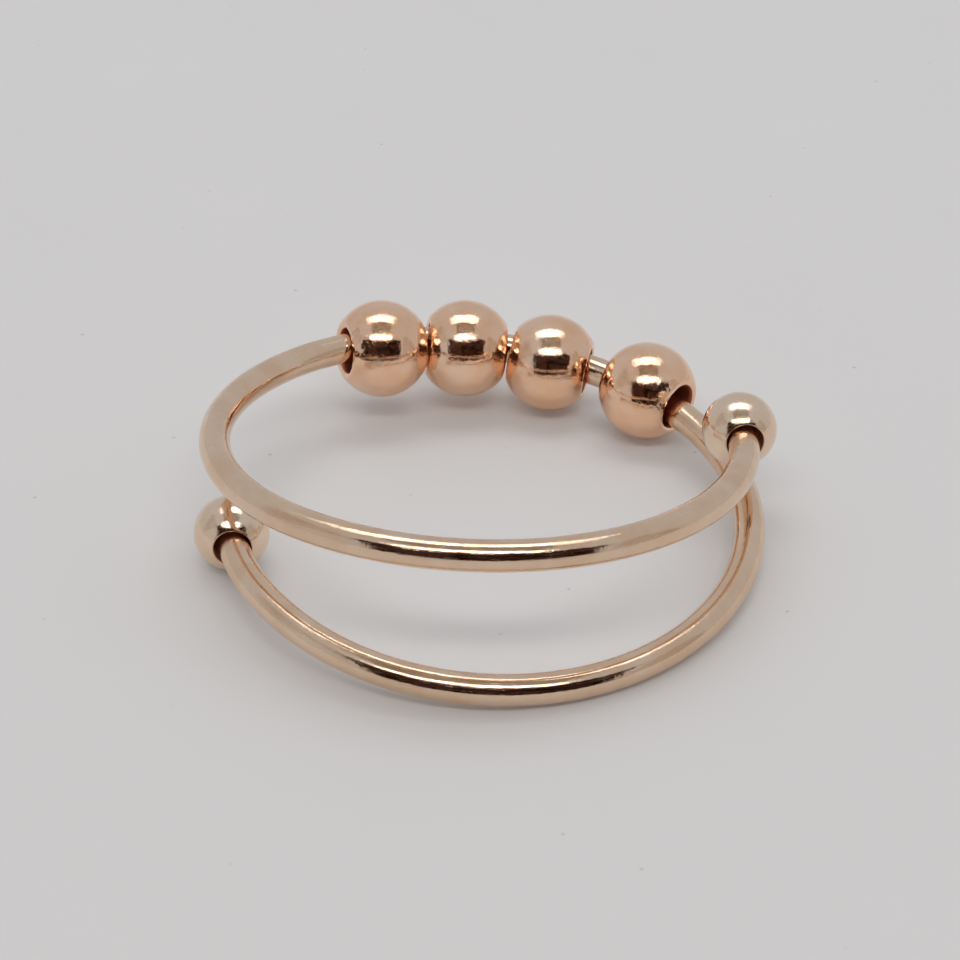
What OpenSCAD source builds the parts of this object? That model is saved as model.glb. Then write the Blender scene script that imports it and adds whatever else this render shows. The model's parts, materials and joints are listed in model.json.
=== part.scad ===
// Open spiral spinner ring: one round wire of one and a half turns, a small bead fixed on each
// end, and four larger drilled beads that slide along its back.
// Millimetres, +Z up, the ring at rest on a table at Z = 0.

/* [Wire] */
// Inner diameter of the ring, the finger's size
finger_d = 19.4; // [14:0.1:24]
// Thickness of the round wire
wire_d = 1.2; // [0.8:0.05:1.8]

/* [Sliding beads] */
// Diameter of a sliding bead
bead_d = 4; // [3:0.1:6]
// Bore through a sliding bead
bore_d = 1.8; // [1.6:0.05:2.6]
// Rounding of the bore's rims
rim_r = 0.2; // [0.05:0.01:0.3]
// How far the hanging beads sink until the wire meets the top of the bore
bead_hang = 0.22; // [0:0.01:0.5]
// Shift of the hanging beads towards the finger
bead_inset = 0.05; // [0:0.01:0.2]
// Angle at which two touching beads open outwards
row_open = 16.5; // [8:0.5:20]
// Least gap between two touching beads
bead_gap = 0.05; // [0.02:0.01:0.1]
// Place of the row's middle bead along the back bend, in degrees
row_place = 46.5; // [30:0.1:60]
// Place of the bead that lies apart, in degrees
apart_place = 2.4; // [-10:0.1:20]
// How far the bead apart stands above the wire's line, as it lies on the table
apart_rise = 0.16; // [0:0.01:0.3]

/* [End beads] */
// Diameter of the bead fixed on each end of the wire
end_bead_d = 2.95; // [2:0.05:4]
// Bore where the wire enters an end bead
mouth_d = 1.45; // [1.3:0.05:2]
// Depth of that wide bore, from the surface of the bead
mouth_depth = 1.1; // [0.3:0.05:1.3]
// Gap around the wire in its seat
seat_gap = 0.02; // [0.01:0.01:0.05]
// How far the wire passes the middle of an end bead
tip_len = 0.55; // [0.2:0.05:1]

/* [Rest] */
// Tilt of the back bend about X, in degrees
tilt_x = -1.88; // [-10:0.01:10]
// Tilt of the back bend about Y, in degrees
tilt_y = 7.49; // [-10:0.01:15]
// Turn of the back bend about its axis, in degrees
turn_z = 47.2; // [-180:0.1:180]
// Centre of the back bend, across the ring
place_x = -0.217; // [-2:0.001:2]
// Centre of the back bend, front to back
place_y = -0.694; // [-2:0.001:2]
// Height of that centre above the table
place_z = 3; // [1:0.001:5]

/* [Hidden] */
$fn = 96;

// The wire is a chain of bends. On a plain round ring its line has the radius ring_r, and each
// bend has a share of that, chosen to follow the ring in hand.
ring_r = (finger_d + wire_d) / 2;
BACK_SHARE = 1.025;
back_r = ring_r * BACK_SHARE;

// A run of bends leads from each end of the back bend to an end of the wire. A row is a bend:
// its share of ring_r, its twist about the wire from the bend before, and its sweep.
SHARE = 0;
TWIST = 1;
SWEEP = 2;
UPPER = [
    [0.98, 9.5, 90],
    [0.985, -2, 90],
    [1.075, 2, 49],
];
LOWER = [
    [1.035, 8.5, 90],
    [0.975, -2, 90],
    [0.925, 16, 43],
];

// The rounded rim of a bead: its centre, from the bore's axis and along it. Its round stands a
// hair proud of the ball, so that the two outlines cross at a clear point.
RIM_PROUD = 0.0005;
rim_x = bore_d / 2 + rim_r;
rim_y = sqrt(pow(bead_d / 2 - rim_r + RIM_PROUD, 2) - pow(rim_x, 2));

// Two beads of the row touch at their inner rims, opened by row_open.
pitch = 2 * (rim_y * cos(row_open / 2) + rim_x * sin(row_open / 2) + rim_r) + bead_gap;
row_step = 2 * asin(pitch / 2 / (back_r - bead_inset));
row_lean = row_step - row_open;

function bend_r(row) = ring_r * row[SHARE];
function arc_deg(length, radius) = length / radius * 180 / PI;

wire_colour = [0.90, 0.75, 0.66];
bead_colour = [0.85, 0.63, 0.52];
end_colour = [0.87, 0.76, 0.66];

// Sets its children in the frame of the back bend: centre at 0, lower end of the bend on +X,
// upper end on +Y.
module at_rest() {
    translate([place_x, place_y, place_z])
        rotate([tilt_x, 0, 0])
            rotate([0, tilt_y, 0])
                rotate([0, 0, turn_z])
                    children();
}

// Sets its children where the upper run starts, on +Y.
module upper_start() {
    rotate([0, 0, 90])
        translate([back_r, 0, 0])
            children();
}

// Sets its children where the lower run starts, on +X and turned over.
module lower_start() {
    translate([back_r, 0, 0])
        rotate([180, 0, 0])
            children();
}

// A stretch of round bar on a circle, from the X axis towards Y.
module bar_arc(radius, sweep, thick) {
    rotate_extrude(angle = sweep)
        translate([radius, 0])
            circle(d = thick);
}

// The bends of a run from row k on. The first starts at the origin, along Y, with its centre on -X.
module bends(run, k = 0) {
    r = bend_r(run[k]);
    last = k == len(run) - 1;
    sweep = run[k][SWEEP];
    rotate([0, run[k][TWIST], 0])
        translate([-r, 0, 0]) {
            bar_arc(r, last ? sweep + arc_deg(tip_len, r) : sweep, wire_d);
            if (!last)
                rotate([0, 0, sweep])
                    translate([r, 0, 0])
                        bends(run, k + 1);
        }
}

// Sets its children in the frame of a run's last bend, centre at 0.
module in_last_bend(run, k = 0) {
    r = bend_r(run[k]);
    rotate([0, run[k][TWIST], 0])
        translate([-r, 0, 0])
            if (k == len(run) - 1)
                children();
            else
                rotate([0, 0, run[k][SWEEP]])
                    translate([r, 0, 0])
                        in_last_bend(run, k + 1)
                            children();
}

module wire_band() {
    color(wire_colour)
        at_rest() {
            bar_arc(back_r, 90, wire_d);
            upper_start()
                bends(UPPER);
            lower_start()
                bends(LOWER);
        }
}

// The bead at the end of a run: a ball on the wire's line, with a seat that follows the wire
// and a wider mouth.
module end_bead(run) {
    row = run[len(run) - 1];
    r = bend_r(row);
    seat_deg = arc_deg(end_bead_d / 2, r);
    tip_deg = arc_deg(tip_len + seat_gap, r);
    in_last_bend(run)
        difference() {
            rotate([0, 0, row[SWEEP]])
                translate([r, 0, 0])
                    rotate([90, 0, 0])
                        difference() {
                            sphere(d = end_bead_d);
                            translate([0, 0, end_bead_d / 2 - mouth_depth])
                                cylinder(d = mouth_d, h = end_bead_d);
                        }
            rotate([0, 0, row[SWEEP] - seat_deg])
                bar_arc(r, seat_deg + tip_deg, wire_d + 2 * seat_gap);
        }
}

module end_bead_upper() {
    color(end_colour)
        at_rest()
            upper_start()
                end_bead(UPPER);
}

module end_bead_lower() {
    color(end_colour)
        at_rest()
            lower_start()
                end_bead(LOWER);
}

// What is cut away outside one rounded rim, in the half plane of bead_profile.
module rim_corner() {
    far = bead_d / 2;
    out = [rim_x, rim_y] / norm([rim_x, rim_y]);
    translate([rim_x, rim_y])
        difference() {
            polygon([[0, 0], far * out, [-far, far], [-far, 0]]);
            circle(r = rim_r);
        }
}

// Half section of a drilled ball, with the bore's axis on Y.
module bead_profile() {
    difference() {
        circle(d = bead_d);
        translate([bore_d / 2 - bead_d, -bead_d])
            square([bead_d, 2 * bead_d]);
        rim_corner();
        mirror([0, 1])
            rim_corner();
    }
}

// A sliding bead at an angle of the back bend, its bore along the wire.
module bead_on_wire(place, rise, inset, lean) {
    color(bead_colour)
        at_rest()
            rotate([0, 0, place])
                translate([back_r - inset, 0, rise])
                    rotate([0, 0, lean])
                        rotate([90, 0, 0])
                            rotate_extrude()
                                bead_profile();
}

module sliding_bead_1() bead_on_wire(row_place + row_step, -bead_hang, bead_inset, -row_lean);

module sliding_bead_2() bead_on_wire(row_place, -bead_hang, bead_inset, 0);

module sliding_bead_3() bead_on_wire(row_place - row_step, -bead_hang, bead_inset, row_lean);

module sliding_bead_4() bead_on_wire(apart_place, apart_rise, 0, 0);

wire_band();
end_bead_upper();
end_bead_lower();
sliding_bead_1();
sliding_bead_2();
sliding_bead_3();
sliding_bead_4();
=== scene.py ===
import json

import bpy
import numpy as np
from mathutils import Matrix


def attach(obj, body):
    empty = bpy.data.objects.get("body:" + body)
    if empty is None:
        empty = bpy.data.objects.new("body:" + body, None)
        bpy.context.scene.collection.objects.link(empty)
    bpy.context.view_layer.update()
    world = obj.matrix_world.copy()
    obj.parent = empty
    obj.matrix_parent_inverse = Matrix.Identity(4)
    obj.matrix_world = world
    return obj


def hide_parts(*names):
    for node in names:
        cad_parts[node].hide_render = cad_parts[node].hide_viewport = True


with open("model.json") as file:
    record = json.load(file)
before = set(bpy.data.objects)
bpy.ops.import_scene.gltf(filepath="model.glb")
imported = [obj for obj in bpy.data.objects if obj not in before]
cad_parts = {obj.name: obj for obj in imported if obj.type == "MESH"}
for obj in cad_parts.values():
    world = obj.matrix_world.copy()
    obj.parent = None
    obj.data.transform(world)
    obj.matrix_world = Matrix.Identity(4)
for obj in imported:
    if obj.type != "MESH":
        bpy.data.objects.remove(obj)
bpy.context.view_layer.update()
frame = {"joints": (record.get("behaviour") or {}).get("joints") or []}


# The wire.
# One length of round wire bent into an open spiral of one and a half turns, plated with pale rose
# gold and polished along its length. The beads are threaded on it and the end beads close it.
MM = 0.001
DEG = np.pi / 180
FINGER_D = 19.4 * MM
WIRE_D = 1.2 * MM
TIP_LEN = 0.55 * MM
CHAMFER = 0.08 * MM

# The back bend lies on the first joint's axis, and its ends open into two runs of bends. A row is
# a bend: its share of the plain ring's radius, its twist about the wire, and its sweep.
RING_R = (FINGER_D + WIRE_D) / 2
BACK_SHARE = 1.025
BACK_R = RING_R * BACK_SHARE
BACK_SWEEP = 90 * DEG
UPPER = [(0.98, 9.5, 90), (0.985, -2, 90), (1.075, 2, 49)]
LOWER = [(1.035, 8.5, 90), (0.975, -2, 90), (0.925, 16, 43)]
TILT_X, TILT_Y, TURN_Z = -1.88 * DEG, 7.49 * DEG, 47.2 * DEG
BACK_CENTRE = np.array(frame["joints"][0]["pos_m"])

WIRE_STEP = 0.15 * MM
WIRE_AROUND = 128

WIRE_TONE = (0.845, 0.64, 0.475)
WIRE_DEEP_TONE = (0.795, 0.565, 0.395)
WIRE_ROUGHNESS = (0.055, 0.165)
WIRE_SMEAR = 0.12
WIRE_WAVE = 0.009 * MM
WIRE_STREAK = 0.05

# The patterns on polished metal: how many cells of each lie in a millimetre, along each axis for
# the hairlines, and between which of its values it takes effect. The turns are in radians.
PATCH_SCALE, PATCH_RANGE = 0.8, (0.35, 0.65)
SMEAR_SCALE, SMEAR_RANGE = 1.1, (0.42, 0.7)
MARK_SCALE, MARK_RANGE = 10, (0.35, 0.7)
MARK_DEPTH = 0.0005 * MM
HAIRLINE_SCALES, HAIRLINE_RANGE = (26, 26, 1.1), (0.7, 0.74)
HAIRLINE_TURNS = ((0.5, 0.2, 0), (-0.7, 0.6, 0.4))
HAIRLINE_ROUGHNESS = 0.12
HAIRLINE_DEPTH = 0.0006 * MM
WAVE_SCALE = 3
DENT_SCALE = 3.4


def turned(axis, angle):
    """The 3 by 3 matrix that turns by an angle about X, Y or Z."""
    c, s = np.cos(angle), np.sin(angle)
    turns = {"x": [[1, 0, 0], [0, c, -s], [0, s, c]],
             "y": [[c, 0, s], [0, 1, 0], [-s, 0, c]],
             "z": [[c, -s, 0], [s, c, 0], [0, 0, 1]]}
    return np.array(turns[axis])


def unit(v):
    """Each row divided by its length."""
    return v / np.linalg.norm(v, axis=-1, keepdims=True)


def arc(centre, axes, radius, sweep):
    """Points and directions along a circle: from axes[0] towards axes[1], both ends included."""
    count = max(3, int(round(radius * sweep / WIRE_STEP)))
    t = np.linspace(0, sweep, count)[:, None]
    out = np.cos(t) * axes[:, 0] + np.sin(t) * axes[:, 1]
    along = np.cos(t) * axes[:, 1] - np.sin(t) * axes[:, 0]
    return centre + radius * out, along


def run_of_bends(start, axes, rows, tip):
    """A run of arcs, each starting where the last one ends and in its direction, with its plane
    twisted about that direction. The last arc goes on by tip. Also the place and the axes of the
    end of the last row, before the tip."""
    points, ways = [], []
    for number, (share, twist, sweep) in enumerate(rows):
        radius = RING_R * share
        axes = axes @ turned("y", twist * DEG)
        centre = start - radius * axes[:, 0]
        last = number == len(rows) - 1
        p, w = arc(centre, axes, radius, sweep * DEG + (tip / radius if last else 0))
        points.append(p[1:])
        ways.append(w[1:])
        axes = axes @ turned("z", sweep * DEG)
        start = centre + radius * axes[:, 0]
    return np.concatenate(points), np.concatenate(ways), start, axes


back_axes = turned("x", TILT_X) @ turned("y", TILT_Y) @ turned("z", TURN_Z)
upper_axes = back_axes @ turned("z", BACK_SWEEP)
lower_axes = back_axes @ turned("x", np.pi)
back_p, back_w = arc(BACK_CENTRE, back_axes, BACK_R, BACK_SWEEP)
upper_p, upper_w, upper_end, upper_end_axes = run_of_bends(
    BACK_CENTRE + BACK_R * upper_axes[:, 0], upper_axes, UPPER, TIP_LEN)
lower_p, lower_w, lower_end, lower_end_axes = run_of_bends(
    BACK_CENTRE + BACK_R * lower_axes[:, 0], lower_axes, LOWER, TIP_LEN)
wire_line = np.concatenate([upper_p[::-1], back_p[::-1], lower_p])
wire_way = np.concatenate([-upper_w[::-1], -back_w[::-1], lower_w])


def placed(name, data):
    """An object that holds a mesh or a camera, put into the scene at the origin."""
    thing = bpy.data.objects.new(name, data)
    bpy.context.scene.collection.objects.link(thing)
    return thing


def skin(name, grid, loop, marks, inner=None):
    """A closed mesh over a grid of points: rows by columns by xyz. The columns close into rings.
    The rows close too where loop is true, and otherwise each end row is one point, the pole.
    marks is a vector for each point, kept as the attribute place. inner is the material number of
    each strip between two rows. The faces are turned outwards by the sign of the volume."""
    rows, cols = grid.shape[:2]
    index = np.arange(rows * cols).reshape(rows, cols)
    if not loop:
        index[0] = index[0, 0]
        index[-1] = index[-1, 0]
    low = index if loop else index[:-1]
    high = np.roll(index, -1, axis=0) if loop else index[1:]
    quads = np.stack([low, np.roll(low, -1, 1), np.roll(high, -1, 1), high], -1).reshape(-1, 4)
    strip = np.repeat(np.arange(len(low)), cols)
    used, quads = np.unique(quads, return_inverse=True)
    quads = quads.reshape(-1, 4)
    points = grid.reshape(-1, 3)[used]
    a, b, c, d = (points[quads[:, k]] for k in range(4))
    volume = (np.cross(b - a, c - a) * a).sum() + (np.cross(c - a, d - a) * a).sum()
    if volume < 0:
        quads = quads[:, ::-1]
    faces = quads.tolist() if loop else [tuple(dict.fromkeys(q)) for q in quads.tolist()]
    mesh = bpy.data.meshes.new(name)
    mesh.from_pydata(points.tolist(), [], faces)
    mesh.polygons.foreach_set("use_smooth", np.ones(len(faces), bool))
    if inner is not None:
        mesh.polygons.foreach_set("material_index", np.asarray(inner)[strip].astype(np.int32))
    attribute = mesh.attributes.new("place", "FLOAT_VECTOR", "POINT")
    attribute.data.foreach_set("vector", marks.reshape(-1, 3)[used].astype(np.float32).ravel())
    mesh.validate()
    mesh.update()
    return placed(name, mesh)


def new_metal(name):
    """An empty metal material: its shader, its node maker, its linker, and the place of the point
    that is coloured, read from the attribute place, in millimetres."""
    material = bpy.data.materials.new(name)
    material.use_nodes = True
    tree = material.node_tree
    shader = tree.nodes["Principled BSDF"]
    place = tree.nodes.new("ShaderNodeAttribute")
    place.attribute_name = "place"
    return material, shader, tree.nodes.new, tree.links.new, place.outputs["Vector"]


def noise(new, link, place, scale, detail, stretch=None, turn=(0, 0, 0)):
    """Soft random value round 0.5 at each place. stretch first scales the place along each axis:
    the smaller the number, the longer the pattern. turn then draws another set of the same."""
    if stretch is not None:
        mapping = new("ShaderNodeMapping")
        mapping.inputs["Rotation"].default_value = turn
        mapping.inputs["Scale"].default_value = stretch
        link(place, mapping.inputs["Vector"])
        place = mapping.outputs["Vector"]
    node = new("ShaderNodeTexNoise")
    node.inputs["Scale"].default_value = scale
    node.inputs["Detail"].default_value = detail
    link(place, node.inputs["Vector"])
    return node.outputs["Fac"]


def spread(new, link, value, low, high, to_low, to_high):
    """A value between low and high moved in proportion to between to_low and to_high."""
    node = new("ShaderNodeMapRange")
    for socket, number in zip(("From Min", "From Max", "To Min", "To Max"),
                              (low, high, to_low, to_high)):
        node.inputs[socket].default_value = number
    link(value, node.inputs["Value"])
    return node.outputs["Result"]


def joined(new, link, first, second, how="ADD"):
    """The sum of two values, or what another operation makes of them."""
    node = new("ShaderNodeMath")
    node.operation = how
    link(first, node.inputs[0])
    link(second, node.inputs[1])
    return node.outputs["Value"]


def blend(new, link, factor, low_tone, high_tone):
    """A colour from low_tone, where the factor is 0, to high_tone, where it is 1. low_tone is
    three numbers, or what an earlier blend gave."""
    node = new("ShaderNodeMix")
    node.data_type = "RGBA"
    if isinstance(low_tone, tuple):
        node.inputs["A"].default_value = (*low_tone, 1)
    else:
        link(low_tone, node.inputs["A"])
    node.inputs["B"].default_value = (*high_tone, 1)
    link(factor, node.inputs["Factor"])
    return node.outputs["Result"]


def pressed(new, link, height, depth, normal=None):
    """The surface direction after a relief of that depth is pressed into the surface."""
    node = new("ShaderNodeBump")
    node.inputs["Strength"].default_value = 1
    node.inputs["Distance"].default_value = depth
    link(height, node.inputs["Height"])
    if normal is not None:
        link(normal, node.inputs["Normal"])
    return node.outputs["Normal"]


def dented(new, link, place, first, full, depth, normal):
    """The surface direction after small dents. They begin at the distance first from the middle,
    along the third axis of place, either way, and are full at the distance full."""
    axes = new("ShaderNodeSeparateXYZ")
    link(place, axes.inputs["Vector"])
    squared = joined(new, link, axes.outputs["Z"], axes.outputs["Z"], "MULTIPLY")
    near_end = spread(new, link, squared, first ** 2, full ** 2, 0, 1)
    dents = joined(new, link, near_end, noise(new, link, place, DENT_SCALE, detail=1), "MULTIPLY")
    return pressed(new, link, dents, depth, normal)


def polished_metal(name, tone, deep_tone, roughness, smear, wave_depth, streak, knocks=None):
    """Polished plated metal. Its colour wanders between two close tones in soft patches. Hazy
    smears, the polishing marks and two sets of hairline scratches, which run along the third axis
    of place, roughen it. A faint wave, the marks and the scratches bend what it mirrors. streak is
    the scale of the marks along that axis: under 1 they are lengthwise streaks. knocks gives the
    distances along it where small dents begin and where they are full, and their depth."""
    material, shader, new, link, place = new_metal(name)
    shader.inputs["Metallic"].default_value = 1
    patches = spread(new, link, noise(new, link, place, PATCH_SCALE, detail=3), *PATCH_RANGE, 0, 1)
    link(blend(new, link, patches, deep_tone, tone), shader.inputs["Base Color"])

    smears = spread(new, link, noise(new, link, place, SMEAR_SCALE, detail=4), *SMEAR_RANGE, 0, smear)
    marks = noise(new, link, place, MARK_SCALE, detail=4, stretch=(1, 1, streak))
    fine = spread(new, link, marks, *MARK_RANGE, *roughness)
    hairlines = [
        spread(new, link, noise(new, link, place, 1, detail=1, stretch=HAIRLINE_SCALES, turn=turn),
               *HAIRLINE_RANGE, 0, 1)
        for turn in HAIRLINE_TURNS]
    scratches = joined(new, link, *hairlines)
    rough = joined(new, link, joined(new, link, smears, fine),
                   spread(new, link, scratches, 0, 1, 0, HAIRLINE_ROUGHNESS))
    link(rough, shader.inputs["Roughness"])

    wave = pressed(new, link, noise(new, link, place, WAVE_SCALE, detail=4), wave_depth)
    if knocks is not None:
        wave = dented(new, link, place, *knocks, wave)
    brushed = pressed(new, link, marks, MARK_DEPTH, wave)
    link(pressed(new, link, scratches, -HAIRLINE_DEPTH, brushed), shader.inputs["Normal"])
    return material


def wire_surface():
    """The wire's skin: a circle carried along its line, square to it. One diameter of the circle
    stays level with the back bend. The ends are flat, with a small chamfer. Its marks are the
    place on the round section and the length along the wire, in millimetres."""
    side = unit(np.cross(wire_way, back_axes[:, 2]))
    up = np.cross(side, wire_way)
    length = np.concatenate([[0], np.cumsum(np.linalg.norm(np.diff(wire_line, axis=0), axis=1))])
    inset = np.minimum(length, length[-1] - length)
    radius = WIRE_D / 2 - np.clip(CHAMFER - inset, 0, CHAMFER)
    rows = np.concatenate([[0], np.arange(len(wire_line)), [len(wire_line) - 1]])
    radius = np.concatenate([[0], radius, [0]])[:, None, None]
    turn = np.linspace(0, 2 * np.pi, WIRE_AROUND, endpoint=False)[:, None]
    circle = np.cos(turn) * side[rows][:, None] + np.sin(turn) * up[rows][:, None]
    flat = np.broadcast_to(WIRE_D / 2 * np.hstack([np.cos(turn), np.sin(turn)]),
                           (len(rows), WIRE_AROUND, 2))
    along = np.broadcast_to(length[rows][:, None, None], (len(rows), WIRE_AROUND, 1))
    return wire_line[rows][:, None] + radius * circle, np.concatenate([flat, along], -1) / MM


wire_grid, wire_marks = wire_surface()
wire = skin("wire_spiral", wire_grid, loop=False, marks=wire_marks)
wire.data.materials.append(
    polished_metal("wire rose gold", WIRE_TONE, WIRE_DEEP_TONE, WIRE_ROUGHNESS, WIRE_SMEAR,
                   WIRE_WAVE, WIRE_STREAK))
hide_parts("wire_band")
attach(wire, "ring")


# The sliding beads.
# Four solid balls, each drilled through with a bore wider than the wire, its rims rounded. They
# are plated a deeper, pinker rose gold, tumbled bright outside and left dull inside the bore. The
# bore's colour is made darker still with painted shade.
BEAD_D = 4 * MM
BORE_D = 1.8 * MM
RIM_R = 0.2 * MM
BEAD_AROUND = 128
BALL_POINTS = 97
RIM_POINTS = 11
BORE_POINTS = 12

# Beads 1 to 3 hang on the wire and touch at their inner rims. Bead 4 stands on the table. Each
# is spun on the wire by a step more than the last, so that no two show the same scratches.
BEAD_HANG = 0.22 * MM
BEAD_INSET = 0.05 * MM
BEAD_GAP = 0.05 * MM
APART_RISE = 0.16 * MM
ROW_OPEN = 16.5 * DEG
ROW_PLACE = 46.5 * DEG
APART_PLACE = 2.4 * DEG
BEAD_SPIN = 70 * DEG

BEAD_TONE = (0.96, 0.675, 0.49)
BEAD_DEEP_TONE = (0.93, 0.58, 0.375)
BEAD_ROUGHNESS = (0.05, 0.15)
BEAD_SMEAR = 0.07
BEAD_WAVE = 0.012 * MM
BEAD_STREAK = 1.4

# The beads have knocked against each other near their rims. The dents begin at the first
# distance from the bead's middle and are full at the second, in millimetres.
KNOCKED_FROM, KNOCKED_TO = 1.1, 1.45
KNOCK_DEPTH = 0.03 * MM

# The bore's dull coppery colour, darkened with painted shade for the inside of the hole.
BORE_SHADED_TONE = (0.44, 0.125, 0.075)
BORE_DEEP_SHADED_TONE = (0.34, 0.085, 0.045)
BORE_METALLIC = 0.55
BORE_ROUGHNESS = 0.38
DULL_RIM_POINTS = 4
DRILL_RING_SCALE = 9
DRILL_RING_STRETCH = (0.1, 0.1, 1)
DRILL_RING_DEPTH = 0.01 * MM

RIM_X = BORE_D / 2 + RIM_R
RIM_Y = np.sqrt((BEAD_D / 2 - RIM_R) ** 2 - RIM_X ** 2)
pitch = 2 * (RIM_Y * np.cos(ROW_OPEN / 2) + RIM_X * np.sin(ROW_OPEN / 2) + RIM_R) + BEAD_GAP
row_step = 2 * np.arcsin(pitch / 2 / (BACK_R - BEAD_INSET))
row_lean = row_step - ROW_OPEN


def round_part(middle, radius, start, stop, count):
    """Points on a circle in the half plane (distance from the axis, place along it)."""
    t = np.linspace(start, stop, count)[:, None]
    return np.array(middle) + radius * np.hstack([np.cos(t), np.sin(t)])


def bead_profile():
    """Half section of a drilled ball: the ball, one rim, the bore and the other rim, as a loop.
    Also the material number of the strip after each point: 0 outside, and 1 in the bore and on
    the last points of the rims."""
    meet = np.arctan2(RIM_Y, RIM_X)
    ball = round_part((0, 0), BEAD_D / 2, -meet, meet, BALL_POINTS)
    rim = round_part((RIM_X, RIM_Y), RIM_R, meet, np.pi, RIM_POINTS)[1:]
    bore = np.column_stack([np.full(BORE_POINTS, BORE_D / 2),
                            np.linspace(RIM_Y, -RIM_Y, BORE_POINTS + 2)[1:-1]])
    other_rim = rim[::-1] * (1, -1)
    loop = np.concatenate([ball, rim, bore, other_rim])
    inside = np.zeros(len(loop), int)
    bore_from = len(ball) + len(rim) - DULL_RIM_POINTS
    bore_to = len(loop) - len(other_rim) + DULL_RIM_POINTS
    inside[bore_from:bore_to] = 1
    return loop, inside


def revolved(profile, middle, axes, around):
    """A profile turned about the second axis of axes through middle, and the same points in the
    piece's own axes, in millimetres, as marks."""
    turn = np.linspace(0, 2 * np.pi, around, endpoint=False)[None, :, None]
    out, along = profile[:, None, :1], profile[:, None, 1:]
    own = np.concatenate([out * np.cos(turn), out * np.sin(turn),
                          np.broadcast_to(along, (len(profile), around, 1))], -1)
    return middle + own @ np.array([axes[:, 0], axes[:, 2], axes[:, 1]]), own / MM


def drilled_metal(name, tone, deep_tone, metallic, roughness):
    """Metal as the drill left it, under thin plating: dull and coppery, with rings round the hole.
    The rings are noise that changes mostly along the third axis of place."""
    material, shader, new, link, place = new_metal(name)
    shader.inputs["Metallic"].default_value = metallic
    shader.inputs["Roughness"].default_value = roughness
    rings = noise(new, link, place, DRILL_RING_SCALE, detail=3, stretch=DRILL_RING_STRETCH)
    link(blend(new, link, rings, deep_tone, tone), shader.inputs["Base Color"])
    link(pressed(new, link, rings, DRILL_RING_DEPTH), shader.inputs["Normal"])
    return material


bead_metal = polished_metal(
    "bead rose gold", BEAD_TONE, BEAD_DEEP_TONE, BEAD_ROUGHNESS, BEAD_SMEAR, BEAD_WAVE,
    BEAD_STREAK, (KNOCKED_FROM, KNOCKED_TO, KNOCK_DEPTH))
# The bore's metal, its colour darkened with painted shade; it also covers the last points of the
# rims.
shaded_bore_metal = drilled_metal(
    "drilled rose gold with painted shade", BORE_SHADED_TONE, BORE_DEEP_SHADED_TONE, BORE_METALLIC, BORE_ROUGHNESS)
bead_loop, bead_inside = bead_profile()
bead_seats = [
    (ROW_PLACE + row_step, -BEAD_HANG, BEAD_INSET, -row_lean),
    (ROW_PLACE, -BEAD_HANG, BEAD_INSET, 0),
    (ROW_PLACE - row_step, -BEAD_HANG, BEAD_INSET, row_lean),
    (APART_PLACE, APART_RISE, 0, 0),
]
for number, (place, rise, inset, lean) in enumerate(bead_seats, start=1):
    seat = back_axes @ turned("z", place)
    middle = BACK_CENTRE + seat @ np.array([BACK_R - inset, 0, rise])
    spin = turned("y", BEAD_SPIN * number)
    grid, marks = revolved(bead_loop, middle, seat @ turned("z", lean) @ spin, BEAD_AROUND)
    bead = skin(f"spinner_bead_{number}", grid, loop=True, marks=marks, inner=bead_inside)
    bead.data.materials.append(bead_metal)
    bead.data.materials.append(shaded_bore_metal)
    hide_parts(f"sliding_bead_{number}")
    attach(bead, f"bead_{number}")


# The end beads.
# A smaller ball fixed on each end of the wire so that the sliding beads stay on. The wire enters
# by a wider mouth and is held in a close seat past the ball's middle. They are plated paler.
END_BEAD_D = 2.95 * MM
MOUTH_D = 1.45 * MM
MOUTH_DEPTH = 1.1 * MM
SEAT_GAP = 0.02 * MM
MOUTH_RIM_R = 0.05 * MM
END_AROUND = 112
MOUTH_POINTS = 10
MOUTH_RIM_POINTS = 9

END_TONE = (0.885, 0.70, 0.545)
END_DEEP_TONE = (0.855, 0.645, 0.475)
END_ROUGHNESS = (0.05, 0.16)
END_SMEAR = 0.10
END_WAVE = 0.013 * MM
END_STREAK = 1.4
MOUTH_TONE = (0.90, 0.50, 0.36)
MOUTH_DEEP_TONE = (0.76, 0.36, 0.24)
MOUTH_METALLIC = 0.6
MOUTH_ROUGHNESS = 0.32


def end_bead_profile():
    """Half section of an end bead from the bottom of its seat, along the seat and the mouth, over
    the mouth's rim and round the ball to the far pole, and the material number of each strip."""
    seat_r = WIRE_D / 2 + SEAT_GAP
    step_y = END_BEAD_D / 2 - MOUTH_DEPTH
    bottom = -(TIP_LEN + SEAT_GAP)
    rim_x = MOUTH_D / 2 + MOUTH_RIM_R
    rim_y = np.sqrt((END_BEAD_D / 2 - MOUTH_RIM_R) ** 2 - rim_x ** 2)
    seat = np.array([(0, bottom), (seat_r, bottom), (seat_r, bottom + MOUTH_RIM_R),
                     (seat_r, step_y - MOUTH_RIM_R), (seat_r, step_y)])
    mouth = np.column_stack([np.full(MOUTH_POINTS, MOUTH_D / 2),
                             np.linspace(step_y, rim_y, MOUTH_POINTS)])
    meet = np.arctan2(rim_y, rim_x)
    rim = round_part((rim_x, rim_y), MOUTH_RIM_R, np.pi, meet, MOUTH_RIM_POINTS)[1:]
    ball = round_part((0, 0), END_BEAD_D / 2, meet, -np.pi / 2, BALL_POINTS)[1:]
    ball[-1, 0] = 0
    line = np.concatenate([seat, mouth, rim, ball])
    inside = np.zeros(len(line) - 1, int)
    inside[:len(seat) + len(mouth) - 1] = 1
    return line, inside


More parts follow.
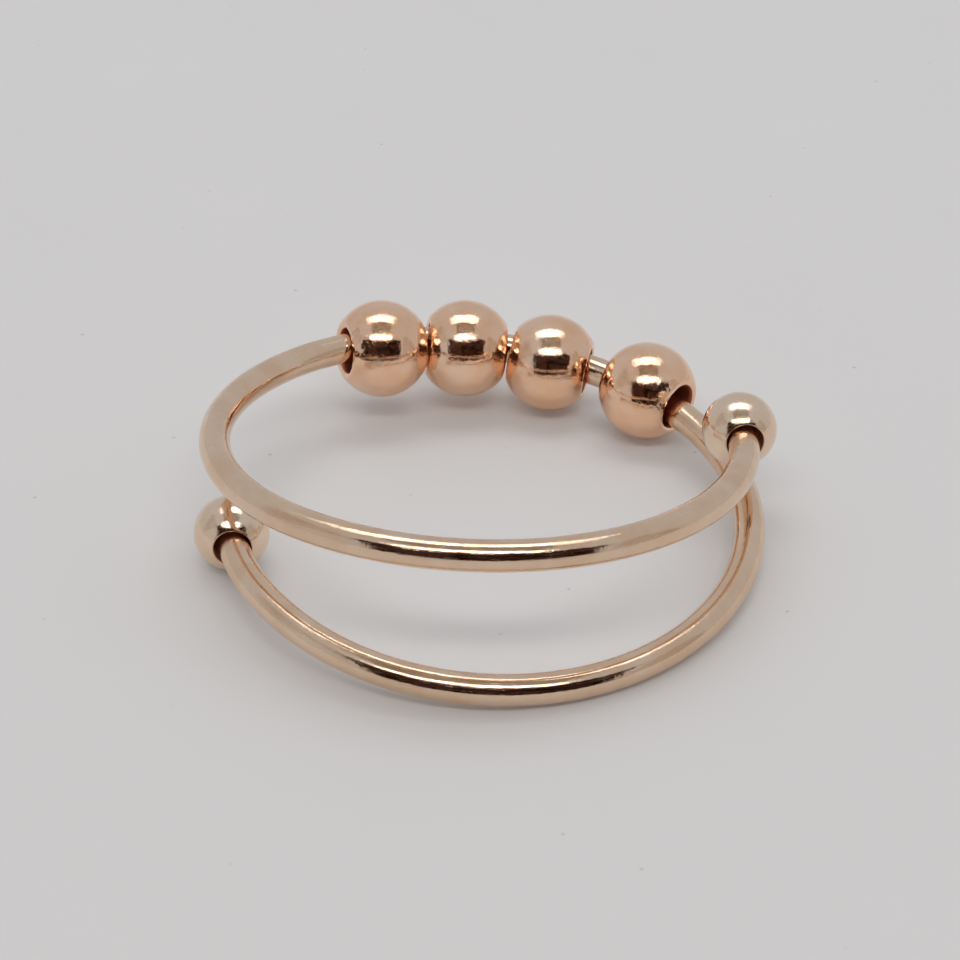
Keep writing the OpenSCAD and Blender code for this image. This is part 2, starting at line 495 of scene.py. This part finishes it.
end_metal = polished_metal(
    "end bead rose gold", END_TONE, END_DEEP_TONE, END_ROUGHNESS, END_SMEAR, END_WAVE,
    END_STREAK)
mouth_metal = drilled_metal(
    "end bead mouth", MOUTH_TONE, MOUTH_DEEP_TONE, MOUTH_METALLIC, MOUTH_ROUGHNESS)
end_line, end_inside = end_bead_profile()
for name, node, middle, axes in (
        ("ball_upper", "end_bead_upper", upper_end, upper_end_axes),
        ("ball_lower", "end_bead_lower", lower_end, lower_end_axes)):
    grid, marks = revolved(end_line, middle, axes @ turned("z", np.pi), END_AROUND)
    ball = skin(name, grid, loop=False, marks=marks, inner=end_inside)
    ball.data.materials.append(end_metal)
    ball.data.materials.append(mouth_metal)
    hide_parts(node)
    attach(ball, "ring")


# The table.
# A pale matt board under the ring, larger than any view of it, with a soft grain and a few grey
# specks of dust. It has a faint painted glow of its own, which keeps the shadows on it pale.
TABLE_SIZE = 6.0
TABLE_TONE = (0.734, 0.730, 0.726)
TABLE_DEEP_TONE = (0.707, 0.703, 0.699)
# The painted glow: an even light the board gives off itself, which lifts the shadows on it.
TABLE_PAINTED_GLOW = (0.075, 0.072, 0.072)
TABLE_ROUGHNESS = 0.65
TABLE_GLOSS = 0.25
DUST_TONE = (0.36, 0.34, 0.33)

# How many cells of each pattern lie in a metre, how large and how strong a speck is within its
# cell, and between which values of its pattern the board is dusty.
GRAIN_SCALE = 90
SPECK_SCALE, SPECK_EDGE, SPECK_STRENGTH = 190, (0.006, 0.02), 0.5
DUSTY_SCALE, DUSTY_RANGE = 120, (0.5, 0.62)


def pale_board():
    """Matt board with a faint painted glow, which lightens its shadows. Its colour wanders a little
    between two tones. Dust shows as small round specks at the middles of scattered cells, where a
    softer pattern lets it."""
    material = bpy.data.materials.new("pale board")
    material.use_nodes = True
    shader = material.node_tree.nodes["Principled BSDF"]
    shader.inputs["Roughness"].default_value = TABLE_ROUGHNESS
    shader.inputs["Specular IOR Level"].default_value = TABLE_GLOSS
    # The painted glow, which lightens the shadows cast on the board.
    shader.inputs["Emission Color"].default_value = (*TABLE_PAINTED_GLOW, 1)
    shader.inputs["Emission Strength"].default_value = 1
    new, link = material.node_tree.nodes.new, material.node_tree.links.new
    place = new("ShaderNodeTexCoord").outputs["Object"]
    grain = noise(new, link, place, GRAIN_SCALE, detail=3)
    board = blend(new, link, grain, TABLE_DEEP_TONE, TABLE_TONE)
    cells = new("ShaderNodeTexVoronoi")
    cells.voronoi_dimensions = "2D"
    cells.inputs["Scale"].default_value = SPECK_SCALE
    link(place, cells.inputs["Vector"])
    speck = spread(new, link, cells.outputs["Distance"], *SPECK_EDGE, SPECK_STRENGTH, 0)
    dusty = spread(new, link, noise(new, link, place, DUSTY_SCALE, detail=1), *DUSTY_RANGE, 0, 1)
    dust = joined(new, link, speck, dusty, "MULTIPLY")
    link(blend(new, link, dust, board, DUST_TONE), shader.inputs["Base Color"])
    return material


table_mesh = bpy.data.meshes.new("table")
half = TABLE_SIZE / 2
table_mesh.from_pydata(
    [(-half, -half, 0), (half, -half, 0), (half, half, 0), (-half, half, 0)], [], [(0, 1, 2, 3)])
table_mesh.materials.append(pale_board())
table = placed("table", table_mesh)


# The light.
# A pale room, two wide soft lamps overhead with a dim gap between them, the dark front where the
# camera stands, and a dimmer right wall and left ceiling. Each card is a glowing patch of a large
# sphere round the ring. The polished metal mirrors it, and the camera doesn't see it.
CARD_R = 0.6
CARD_ROWS = 7
CARD_COLUMNS = 33
ROOM_LIGHT = (0.52, 0.53, 0.55)
NEAR_LAMP_LIGHT = (1.5, 1.46, 1.42)
LAMP_CORE_LIGHT = (6.8, 6.7, 6.6)
FAR_LAMP_LIGHT = (2.4, 2.4, 2.42)
GAP_LIGHT = (0.36, 0.34, 0.305)
GAP_SHADE = (0.23, 0.205, 0.175)
DARK_LIGHT = (0.060, 0.025, 0.018)
DARK_SHADE = (0.005, 0.003, 0.003)
WALL_LIGHT = (0.48, 0.46, 0.45)
WALL_SHADE = (0.42, 0.38, 0.355)

# A lamp fades between these angles to its left and right. Blotches have so many cells in a
# metre. The core and the dark front stand a little nearer than the other cards.
FADE_SIDE = 12, 27
BLOTCH_SCALE, BLOTCH_RANGE = 9, (0.4, 0.62)
CORE_R = CARD_R * 0.99
FRONT_R = CARD_R * 0.97

# The dark front's top, in degrees: its height in the middle and at its sides, the middle's side
# angle, half the width of the low part, and the width of the slope beside it.
FRONT_LOW, FRONT_HIGH = 51, 58
FRONT_MIDDLE, FRONT_HALF, FRONT_SLOPE = 2, 22, 10

world = bpy.data.worlds.new("pale room")
world.use_nodes = True
world.node_tree.nodes["Background"].inputs["Color"].default_value = (*ROOM_LIGHT, 1)
bpy.context.scene.world = world


def glowing(name, light, shade, radius, fade):
    """The glow of a card. With a shade its light wanders to that colour in blotches. fade is the
    share of the light that is left at its far sides, told from the square of the place across."""
    glow = bpy.data.materials.new(name)
    glow.use_nodes = True
    glow.node_tree.nodes.clear()
    new, link = glow.node_tree.nodes.new, glow.node_tree.links.new
    shine = new("ShaderNodeEmission")
    shine.inputs["Color"].default_value = (*light, 1)
    place = new("ShaderNodeTexCoord").outputs["Object"]
    if shade is not None:
        blotches = spread(new, link, noise(new, link, place, BLOTCH_SCALE, detail=3),
                          *BLOTCH_RANGE, 0, 1)
        link(blend(new, link, blotches, shade, light), shine.inputs["Color"])
    if fade != 1:
        axes = new("ShaderNodeSeparateXYZ")
        link(place, axes.inputs["Vector"])
        across = joined(new, link, axes.outputs["X"], axes.outputs["X"], "MULTIPLY")
        inner, outer = (radius * np.sin(np.array(FADE_SIDE) * DEG)) ** 2
        link(spread(new, link, across, inner, outer, 1, fade), shine.inputs["Strength"])
    link(shine.outputs["Emission"], new("ShaderNodeOutputMaterial").inputs["Surface"])
    return glow


def card(name, rise, side, light, shade=None, radius=CARD_R, top=None, fade=1):
    """A glowing patch of a sphere. rise is its lowest and highest angle, counted from the front
    horizon up over the ring to the back, and side its angles to the left and right, in degrees.
    top moves the upper edge: it gives the highest angle for each side angle."""
    v, u = np.meshgrid(np.linspace(0, 1, CARD_ROWS), np.linspace(*side, CARD_COLUMNS),
                       indexing="ij")
    high = np.full(u.shape, float(rise[1])) if top is None else top(u)
    height = (rise[0] + v * (high - rise[0])) * DEG
    u = u * DEG
    points = radius * np.stack(
        [np.sin(u), -np.cos(u) * np.cos(height), np.cos(u) * np.sin(height)], -1).reshape(-1, 3)
    index = np.arange(len(points)).reshape(height.shape)
    quads = np.stack([index[:-1, :-1], index[:-1, 1:], index[1:, 1:], index[1:, :-1]], -1)
    mesh = bpy.data.meshes.new(name)
    mesh.from_pydata(points.tolist(), [], quads.reshape(-1, 4).tolist())
    mesh.materials.append(glowing(name, light, shade, radius, fade))
    made = placed(name, mesh)
    made.visible_camera = False


def front_top(side):
    """The dark front is lower in the middle, where it meets the near lamp, than at its sides."""
    slope = (abs(side - FRONT_MIDDLE) - FRONT_HALF) / FRONT_SLOPE
    return FRONT_LOW + (FRONT_HIGH - FRONT_LOW) * np.clip(slope, 0, 1)


card("far lamp", rise=(98, 119), side=(-27, 25), light=FAR_LAMP_LIGHT, fade=0.5)
card("near lamp", rise=(51, 68), side=(-27, 26), light=NEAR_LAMP_LIGHT, fade=0.7)
card("lamp core", rise=(56.5, 62.5), side=(-25, 24), light=LAMP_CORE_LIGHT, radius=CORE_R,
     fade=0.4)
card("lamp gap", rise=(68, 98), side=(-20, 22), light=GAP_LIGHT, shade=GAP_SHADE)
card("right wall", rise=(-2, 80), side=(54, 86), light=WALL_LIGHT, shade=WALL_SHADE)
card("left ceiling", rise=(55, 112), side=(-86, -44), light=WALL_LIGHT, shade=WALL_SHADE)
card("dark front", rise=(-1, FRONT_LOW), side=(-41, 48), light=DARK_LIGHT, shade=DARK_SHADE,
     radius=FRONT_R, top=front_top)


# The camera.
# It stands at the photograph's place: in front of the ring, looking down at it, a little over a
# hand's breadth away. The angle, distance and offsets were fitted to the wire's edges.
CAMERA_LENS = 117.566
CAMERA_SENSOR = 36
CAMERA_DISTANCE = 124.07 * MM
CAMERA_HEIGHT = 33.833 * DEG
CAMERA_ROLL = 0.123 * DEG
CAMERA_SHIFT = 0.286 * MM, -2.044 * MM
CAMERA_NEAREST = 1 * MM
CAMERA_FARTHEST = 20.0

forward = np.array([0, np.cos(CAMERA_HEIGHT), -np.sin(CAMERA_HEIGHT)])
level = np.array([1, 0, 0])
steep = np.cross(level, forward)
right = np.cos(CAMERA_ROLL) * level + np.sin(CAMERA_ROLL) * steep
above = np.cos(CAMERA_ROLL) * steep - np.sin(CAMERA_ROLL) * level
spot = -(CAMERA_SHIFT[0] * right + CAMERA_SHIFT[1] * above + CAMERA_DISTANCE * forward)
camera_data = bpy.data.cameras.new("camera")
camera_data.lens = CAMERA_LENS
camera_data.sensor_width = CAMERA_SENSOR
camera_data.clip_start = CAMERA_NEAREST
camera_data.clip_end = CAMERA_FARTHEST
camera = placed("camera", camera_data)
placing = np.eye(4)
placing[:3, 0], placing[:3, 1], placing[:3, 2], placing[:3, 3] = right, above, -forward, spot
camera.matrix_world = placing.T.tolist()
bpy.context.scene.camera = camera
bpy.context.scene.view_settings.view_transform = "Standard"
